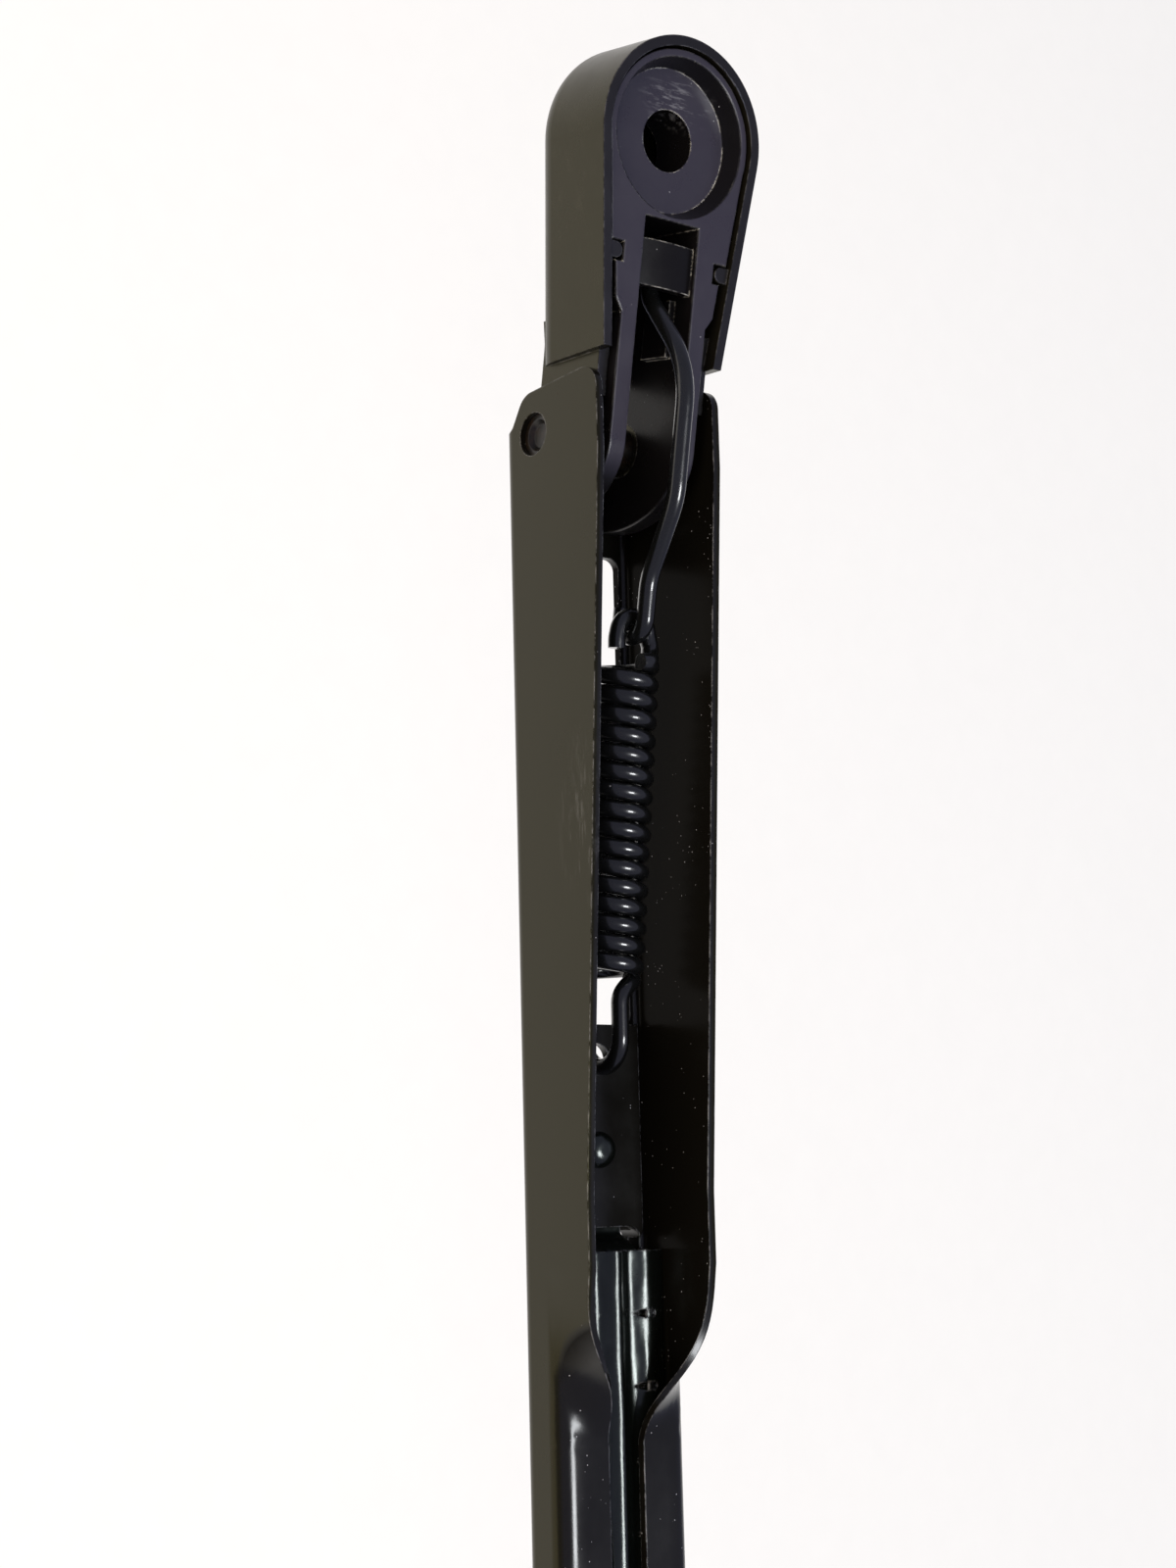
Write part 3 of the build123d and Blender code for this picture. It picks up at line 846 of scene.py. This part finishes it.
def on_coil(spring, turn):
    """Return the middle of the coil's wire after so many turns."""
    angle = tau * turn
    ring = Vector((cos(angle), sin(angle), 0.0)) * spring.radius
    return coil_start(spring) + coil_axes(spring) @ (ring + Vector((0.0, 0.0, spring.pitch * turn)))


def along_coil(spring, turn):
    """Return the direction in which the coil's wire runs after so many turns."""
    angle = tau * turn
    ring = Vector((-sin(angle), cos(angle), 0.0)) * spring.radius * tau
    return (coil_axes(spring) @ (ring + Vector((0.0, 0.0, spring.pitch)))).normalized()


def eye_points(spring):
    """Return the eye round the wire hook, from its cut end to the first turn of the coil."""
    # millimetres in the coil's own axes
    height = 2.1
    front = -7.55
    side = 3.2
    shoulder = 0.72 * side
    round_start = front + 0.9
    leg_start = front + 3.3
    leg_end = front + 5.5
    places = (
        (height, side, leg_end),
        (height, side, leg_start),
        (height, shoulder, round_start),
        (height, 0.0, front),
        (height, -shoulder, round_start),
        (height + 0.1, -side, leg_start),
        (height + 0.7, -side, leg_end),
    )
    start = coil_start(spring)
    axes = coil_axes(spring)
    return [start + axes @ Vector(place) * MM for place in places] + [on_coil(spring, 0.0)]


def wire_ends(spring):
    """Draw the middle line of the spring's eye and of its anchor hook."""
    # anchor hook, from the last turn down through the hole of the floor, in millimetres on the arm
    lead_along = 94.5
    bend_along = 99.8
    tip_along = 98.0
    bend = 4.8
    foot = 1.65
    anchor = [
        on_coil(spring, spring.turns),
        on_arm(lead_along, foot + 2 * bend),
        on_arm(bend_along, foot + 2 * bend),
        on_arm(bend_along + bend, foot + bend),
        on_arm(bend_along, foot),
        on_arm(tip_along, foot),
    ]
    path = bpy.data.curves.new("spring_wire_ends", "CURVE")
    path.dimensions = "3D"
    path.resolution_u = 16
    for points in (eye_points(spring), anchor):
        spline = path.splines.new("BEZIER")
        spline.bezier_points.add(len(points) - 1)
        for knot, point in zip(spline.bezier_points, points):
            knot.co = point
            knot.handle_left_type = "AUTO"
            knot.handle_right_type = "AUTO"

    # the wire leaves the coil along its last turn, and the anchor bend is a true half circle
    ease = 3.0 * MM
    short_ease = 1.5 * MM
    tip_ease = 0.5 * MM
    quarter_circle = 0.5523 * bend * MM
    forward = Vector((1.0, 0.0, 0.0))
    down = Vector((0.0, 0.0, -1.0))
    eye_knots = path.splines[0].bezier_points
    anchor_knots = path.splines[1].bezier_points
    holds = (
        (eye_knots[-1], along_coil(spring, 0.0), ease, ease),
        (anchor_knots[0], along_coil(spring, spring.turns), ease, ease),
        (anchor_knots[1], forward, ease, short_ease),
        (anchor_knots[2], forward, short_ease, quarter_circle),
        (anchor_knots[3], down, quarter_circle, quarter_circle),
        (anchor_knots[4], -forward, quarter_circle, tip_ease),
    )
    for knot, way, before, after in holds:
        knot.handle_left_type = "FREE"
        knot.handle_right_type = "FREE"
        knot.handle_left = knot.co - way * before
        knot.handle_right = knot.co + way * after
    return path


def spring_tree():
    """Build the node group that winds a coil, joins it to the wire's two ends and sweeps the wire."""
    tree = bpy.data.node_groups.new("close_wound_spring", "GeometryNodeTree")
    sockets = (
        ("Wire Ends", "INPUT", "NodeSocketGeometry"),
        ("Wire Radius", "INPUT", "NodeSocketFloat"),
        ("Coil Radius", "INPUT", "NodeSocketFloat"),
        ("Coil Length", "INPUT", "NodeSocketFloat"),
        ("Turns", "INPUT", "NodeSocketFloat"),
        ("Start", "INPUT", "NodeSocketVector"),
        ("Lean", "INPUT", "NodeSocketRotation"),
        ("Material", "INPUT", "NodeSocketMaterial"),
        ("Spring", "OUTPUT", "NodeSocketGeometry"),
    )
    for name, in_out, kind in sockets:
        tree.interface.new_socket(name, in_out=in_out, socket_type=kind)
    given = add(tree, "NodeGroupInput").outputs
    coil = add(
        tree,
        "GeometryNodeCurveSpiral",
        {
            "Resolution": 48,
            "Rotations": given["Turns"],
            "Start Radius": given["Coil Radius"],
            "End Radius": given["Coil Radius"],
            "Height": given["Coil Length"],
        },
    )
    placed = add(
        tree,
        "GeometryNodeTransform",
        {"Geometry": coil.outputs["Curve"], "Translation": given["Start"], "Rotation": given["Lean"]},
    )
    wire = add(tree, "GeometryNodeJoinGeometry")
    tree.links.new(given["Wire Ends"], wire.inputs["Geometry"])
    tree.links.new(placed.outputs["Geometry"], wire.inputs["Geometry"])
    round_section = add(
        tree,
        "GeometryNodeCurvePrimitiveCircle",
        {"Resolution": 20, "Radius": given["Wire Radius"]},
    )
    swept = add(
        tree,
        "GeometryNodeCurveToMesh",
        {
            "Curve": wire.outputs["Geometry"],
            "Profile Curve": round_section.outputs["Curve"],
            "Fill Caps": True,
        },
    )
    smooth = add(tree, "GeometryNodeSetShadeSmooth", {"Geometry": swept.outputs["Mesh"]})
    real = add(tree, "GeometryNodeRealizeInstances", {"Geometry": smooth.outputs["Geometry"]})
    finished = add(
        tree,
        "GeometryNodeSetMaterial",
        {"Geometry": real.outputs["Geometry"], "Material": given["Material"]},
    )
    add(tree, "NodeGroupOutput", {"Spring": finished.outputs["Geometry"]})
    return tree


class ARM_OT_wires(bpy.types.Operator):
    """Wind the tension spring and black it and the wire hook."""

    bl_idname = "wiper_arm.wires"
    bl_label = "Wind the spring"

    def execute(self, context):
        scene = context.scene
        spring = scene.wiper_spring
        blacking = blacked_wire("dip_blacked_wire", scene.wiper_finish, dust_cover=0.08)
        dress("c_hook", blacking)

        holder = bpy.data.objects.new("spring_path", wire_ends(spring))
        scene.collection.objects.link(holder)
        tree = spring_tree()
        winder = holder.modifiers.new("close_wound_spring", "NODES")
        winder.node_group = tree
        values = {
            "Wire Radius": spring.wire / 2,
            "Coil Radius": spring.radius,
            "Coil Length": spring.pitch * spring.turns,
            "Turns": spring.turns,
            "Start": coil_start(spring),
            "Lean": coil_axes(spring).to_euler(),
            "Material": blacking,
        }
        for item in tree.interface.items_tree:
            if item.in_out == "INPUT" and item.name in values:
                winder[item.identifier] = values[item.name]
        depsgraph = context.evaluated_depsgraph_get()
        mesh = bpy.data.meshes.new_from_object(holder.evaluated_get(depsgraph), depsgraph=depsgraph)
        holder.modifiers.remove(winder)
        bpy.data.objects.remove(holder)
        if not mesh.polygons:
            raise RuntimeError("the spring has no faces")
        mesh.name = "wound_spring"
        piece = bpy.data.objects.new("wound_spring", mesh)
        scene.collection.objects.link(piece)
        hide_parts("tension_spring")
        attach(piece, "spring")
        return {"FINISHED"}


def matt_white_floor(stage):
    """Matt white sheet: plain white to the camera, and it still takes the arm's shadow."""
    grain_mm = 9
    white_share = 0.6
    material, tree, place = new_material("matt_white_floor")
    grain = add(
        tree,
        "ShaderNodeTexNoise",
        {"Vector": place, "Scale": per_metre(grain_mm), "Detail": 3.0},
    )
    shade = add(
        tree,
        "ShaderNodeMix",
        {"Factor": grain.outputs["Fac"], "A": linear(stage.floor), "B": WHITE},
        data_type="RGBA",
    )
    matt = add(tree, "ShaderNodeBsdfDiffuse", {"Color": shade.outputs["Result"]})
    path = add(tree, "ShaderNodeLightPath")
    direct = add(
        tree,
        "ShaderNodeMath",
        {0: path.outputs["Is Camera Ray"], 1: path.outputs["Is Transmission Ray"]},
        operation="MAXIMUM",
    )
    seen = add(
        tree,
        "ShaderNodeMath",
        {0: direct.outputs[0], 1: path.outputs["Is Glossy Ray"]},
        operation="MAXIMUM",
    )
    share = add(tree, "ShaderNodeMath", {0: seen.outputs[0], 1: white_share}, operation="MULTIPLY")
    white = add(tree, "ShaderNodeEmission", {"Color": WHITE, "Strength": 1.0})
    mix = add(
        tree,
        "ShaderNodeMixShader",
        {0: share.outputs[0], 1: matt.outputs["BSDF"], 2: white.outputs["Emission"]},
    )
    add(tree, "ShaderNodeOutputMaterial", {"Surface": mix.outputs["Shader"]})
    return material


def soft_room(stage):
    """Make a world that lights softly from all round and is white to the camera."""
    world = bpy.data.worlds.new("soft_room")
    world.use_nodes = True
    tree = world.node_tree
    tree.nodes.clear()
    path = add(tree, "ShaderNodeLightPath")
    room = add(
        tree,
        "ShaderNodeBackground",
        {"Color": linear(stage.room), "Strength": stage.room_strength},
    )
    white = add(tree, "ShaderNodeBackground", {"Color": WHITE, "Strength": 1.0})
    mix = add(
        tree,
        "ShaderNodeMixShader",
        {
            0: path.outputs["Is Camera Ray"],
            1: room.outputs["Background"],
            2: white.outputs["Background"],
        },
    )
    add(tree, "ShaderNodeOutputWorld", {"Surface": mix.outputs["Shader"]})
    return world


def hang_lamp(scene, name, spot, length, width, power, colour, mirrored):
    """Hang a rectangular lamp and turn it to the middle of the channel."""
    middle = Vector((0.1, 0, -0.01))
    lamp = bpy.data.lights.new(name, "AREA")
    lamp.shape = "RECTANGLE"
    lamp.size = length
    lamp.size_y = width
    lamp.energy = power
    lamp.color = linear(colour)[:3]
    holder = bpy.data.objects.new(name, lamp)
    holder.visible_glossy = mirrored
    scene.collection.objects.link(holder)
    back = (Vector(spot) - middle).normalized()
    across = back.cross(Vector((1, 0, 0))).normalized()
    aim = Matrix((across.cross(back), across, back)).transposed().to_4x4()
    holder.matrix_world = Matrix.Translation(spot) @ aim


def set_camera(scene, stage):
    """Place the camera over the underside, with the head at the top of the picture."""
    side = stage.view_side
    tilt = stage.view_tilt
    roll = stage.view_roll
    towards = Vector((sin(tilt), -sin(side) * cos(tilt), cos(side) * cos(tilt)))
    level_right = Vector((-1, 0, 0)).cross(towards).normalized()
    level_up = towards.cross(level_right)
    right = level_right * cos(roll) + level_up * sin(roll)
    up = level_up * cos(roll) - level_right * sin(roll)
    target = Vector(stage.aim) - stage.aim_shift * right
    turn = Matrix((right, up, towards)).transposed().to_4x4()
    lens = bpy.data.cameras.new("camera")
    lens.sensor_fit = "VERTICAL"
    lens.angle_y = stage.field
    lens.clip_start = 0.01
    camera = bpy.data.objects.new("camera", lens)
    scene.collection.objects.link(camera)
    camera.matrix_world = Matrix.Translation(target + stage.distance * towards) @ turn
    scene.camera = camera


class ARM_OT_stage(bpy.types.Operator):
    """Make the floor, the soft lights and the camera."""

    bl_idname = "wiper_arm.stage"
    bl_label = "Set the stage"

    def execute(self, context):
        scene = context.scene
        stage = scene.wiper_stage
        # below the lowest place that the tip swings to, so that the lifted arm stays in sight
        side = 4.0
        room_below = 0.03
        reach = cad_box[1][0] - hinge.x
        level = hinge.z - reach * sin(radians(lift["range_deg"][1])) - room_below
        mesh = bpy.data.meshes.new("floor")
        mesh.from_pydata(
            [(-side, -side, level), (side, -side, level), (side, side, level), (-side, side, level)],
            [],
            [(0, 1, 2, 3)],
        )
        mesh.materials.append(matt_white_floor(stage))
        floor = bpy.data.objects.new("floor", mesh)
        scene.collection.objects.link(floor)

        scene.world = soft_room(stage)
        # the window only fills, so that its wide shape doesn't stripe the gloss of wires and enamel
        hang_lamp(
            scene,
            "low_left_window",
            spot=(0.1, -1.3, 0.8),
            length=3.2,
            width=1.6,
            power=stage.window_power,
            colour=stage.window,
            mirrored=False,
        )
        hang_lamp(
            scene,
            "overhead_lamp",
            spot=(0.33, 0.16, 0.95),
            length=0.26,
            width=0.3,
            power=stage.lamp_power,
            colour=stage.lamp,
            mirrored=True,
        )
        set_camera(scene, stage)
        scene.view_settings.view_transform = "Standard"
        return {"FINISHED"}


STEPS = (ARM_OT_pressings, ARM_OT_head, ARM_OT_hinge, ARM_OT_socket, ARM_OT_wires, ARM_OT_stage)


class ARM_PT_panel(bpy.types.Panel):
    """Sidebar list of the steps."""

    bl_idname = "ARM_PT_panel"
    bl_label = "Wiper arm"
    bl_space_type = "VIEW_3D"
    bl_region_type = "UI"
    bl_category = "Wiper arm"

    def draw(self, context):
        for step in STEPS:
            self.layout.operator(step.bl_idname)


CLASSES = (FinishSettings, SpringSettings, StageSettings, *STEPS, ARM_PT_panel)


def register():
    for cls in CLASSES:
        bpy.utils.register_class(cls)
    bpy.types.Scene.wiper_finish = PointerProperty(type=FinishSettings)
    bpy.types.Scene.wiper_spring = PointerProperty(type=SpringSettings)
    bpy.types.Scene.wiper_stage = PointerProperty(type=StageSettings)


def unregister():
    del bpy.types.Scene.wiper_stage
    del bpy.types.Scene.wiper_spring
    del bpy.types.Scene.wiper_finish
    for cls in reversed(CLASSES):
        bpy.utils.unregister_class(cls)


def main():
    register()
    bpy.ops.wiper_arm.pressings()
    bpy.ops.wiper_arm.head()
    bpy.ops.wiper_arm.hinge()
    bpy.ops.wiper_arm.socket()
    bpy.ops.wiper_arm.wires()
    bpy.ops.wiper_arm.stage()


if __name__ == "__main__":
    main()
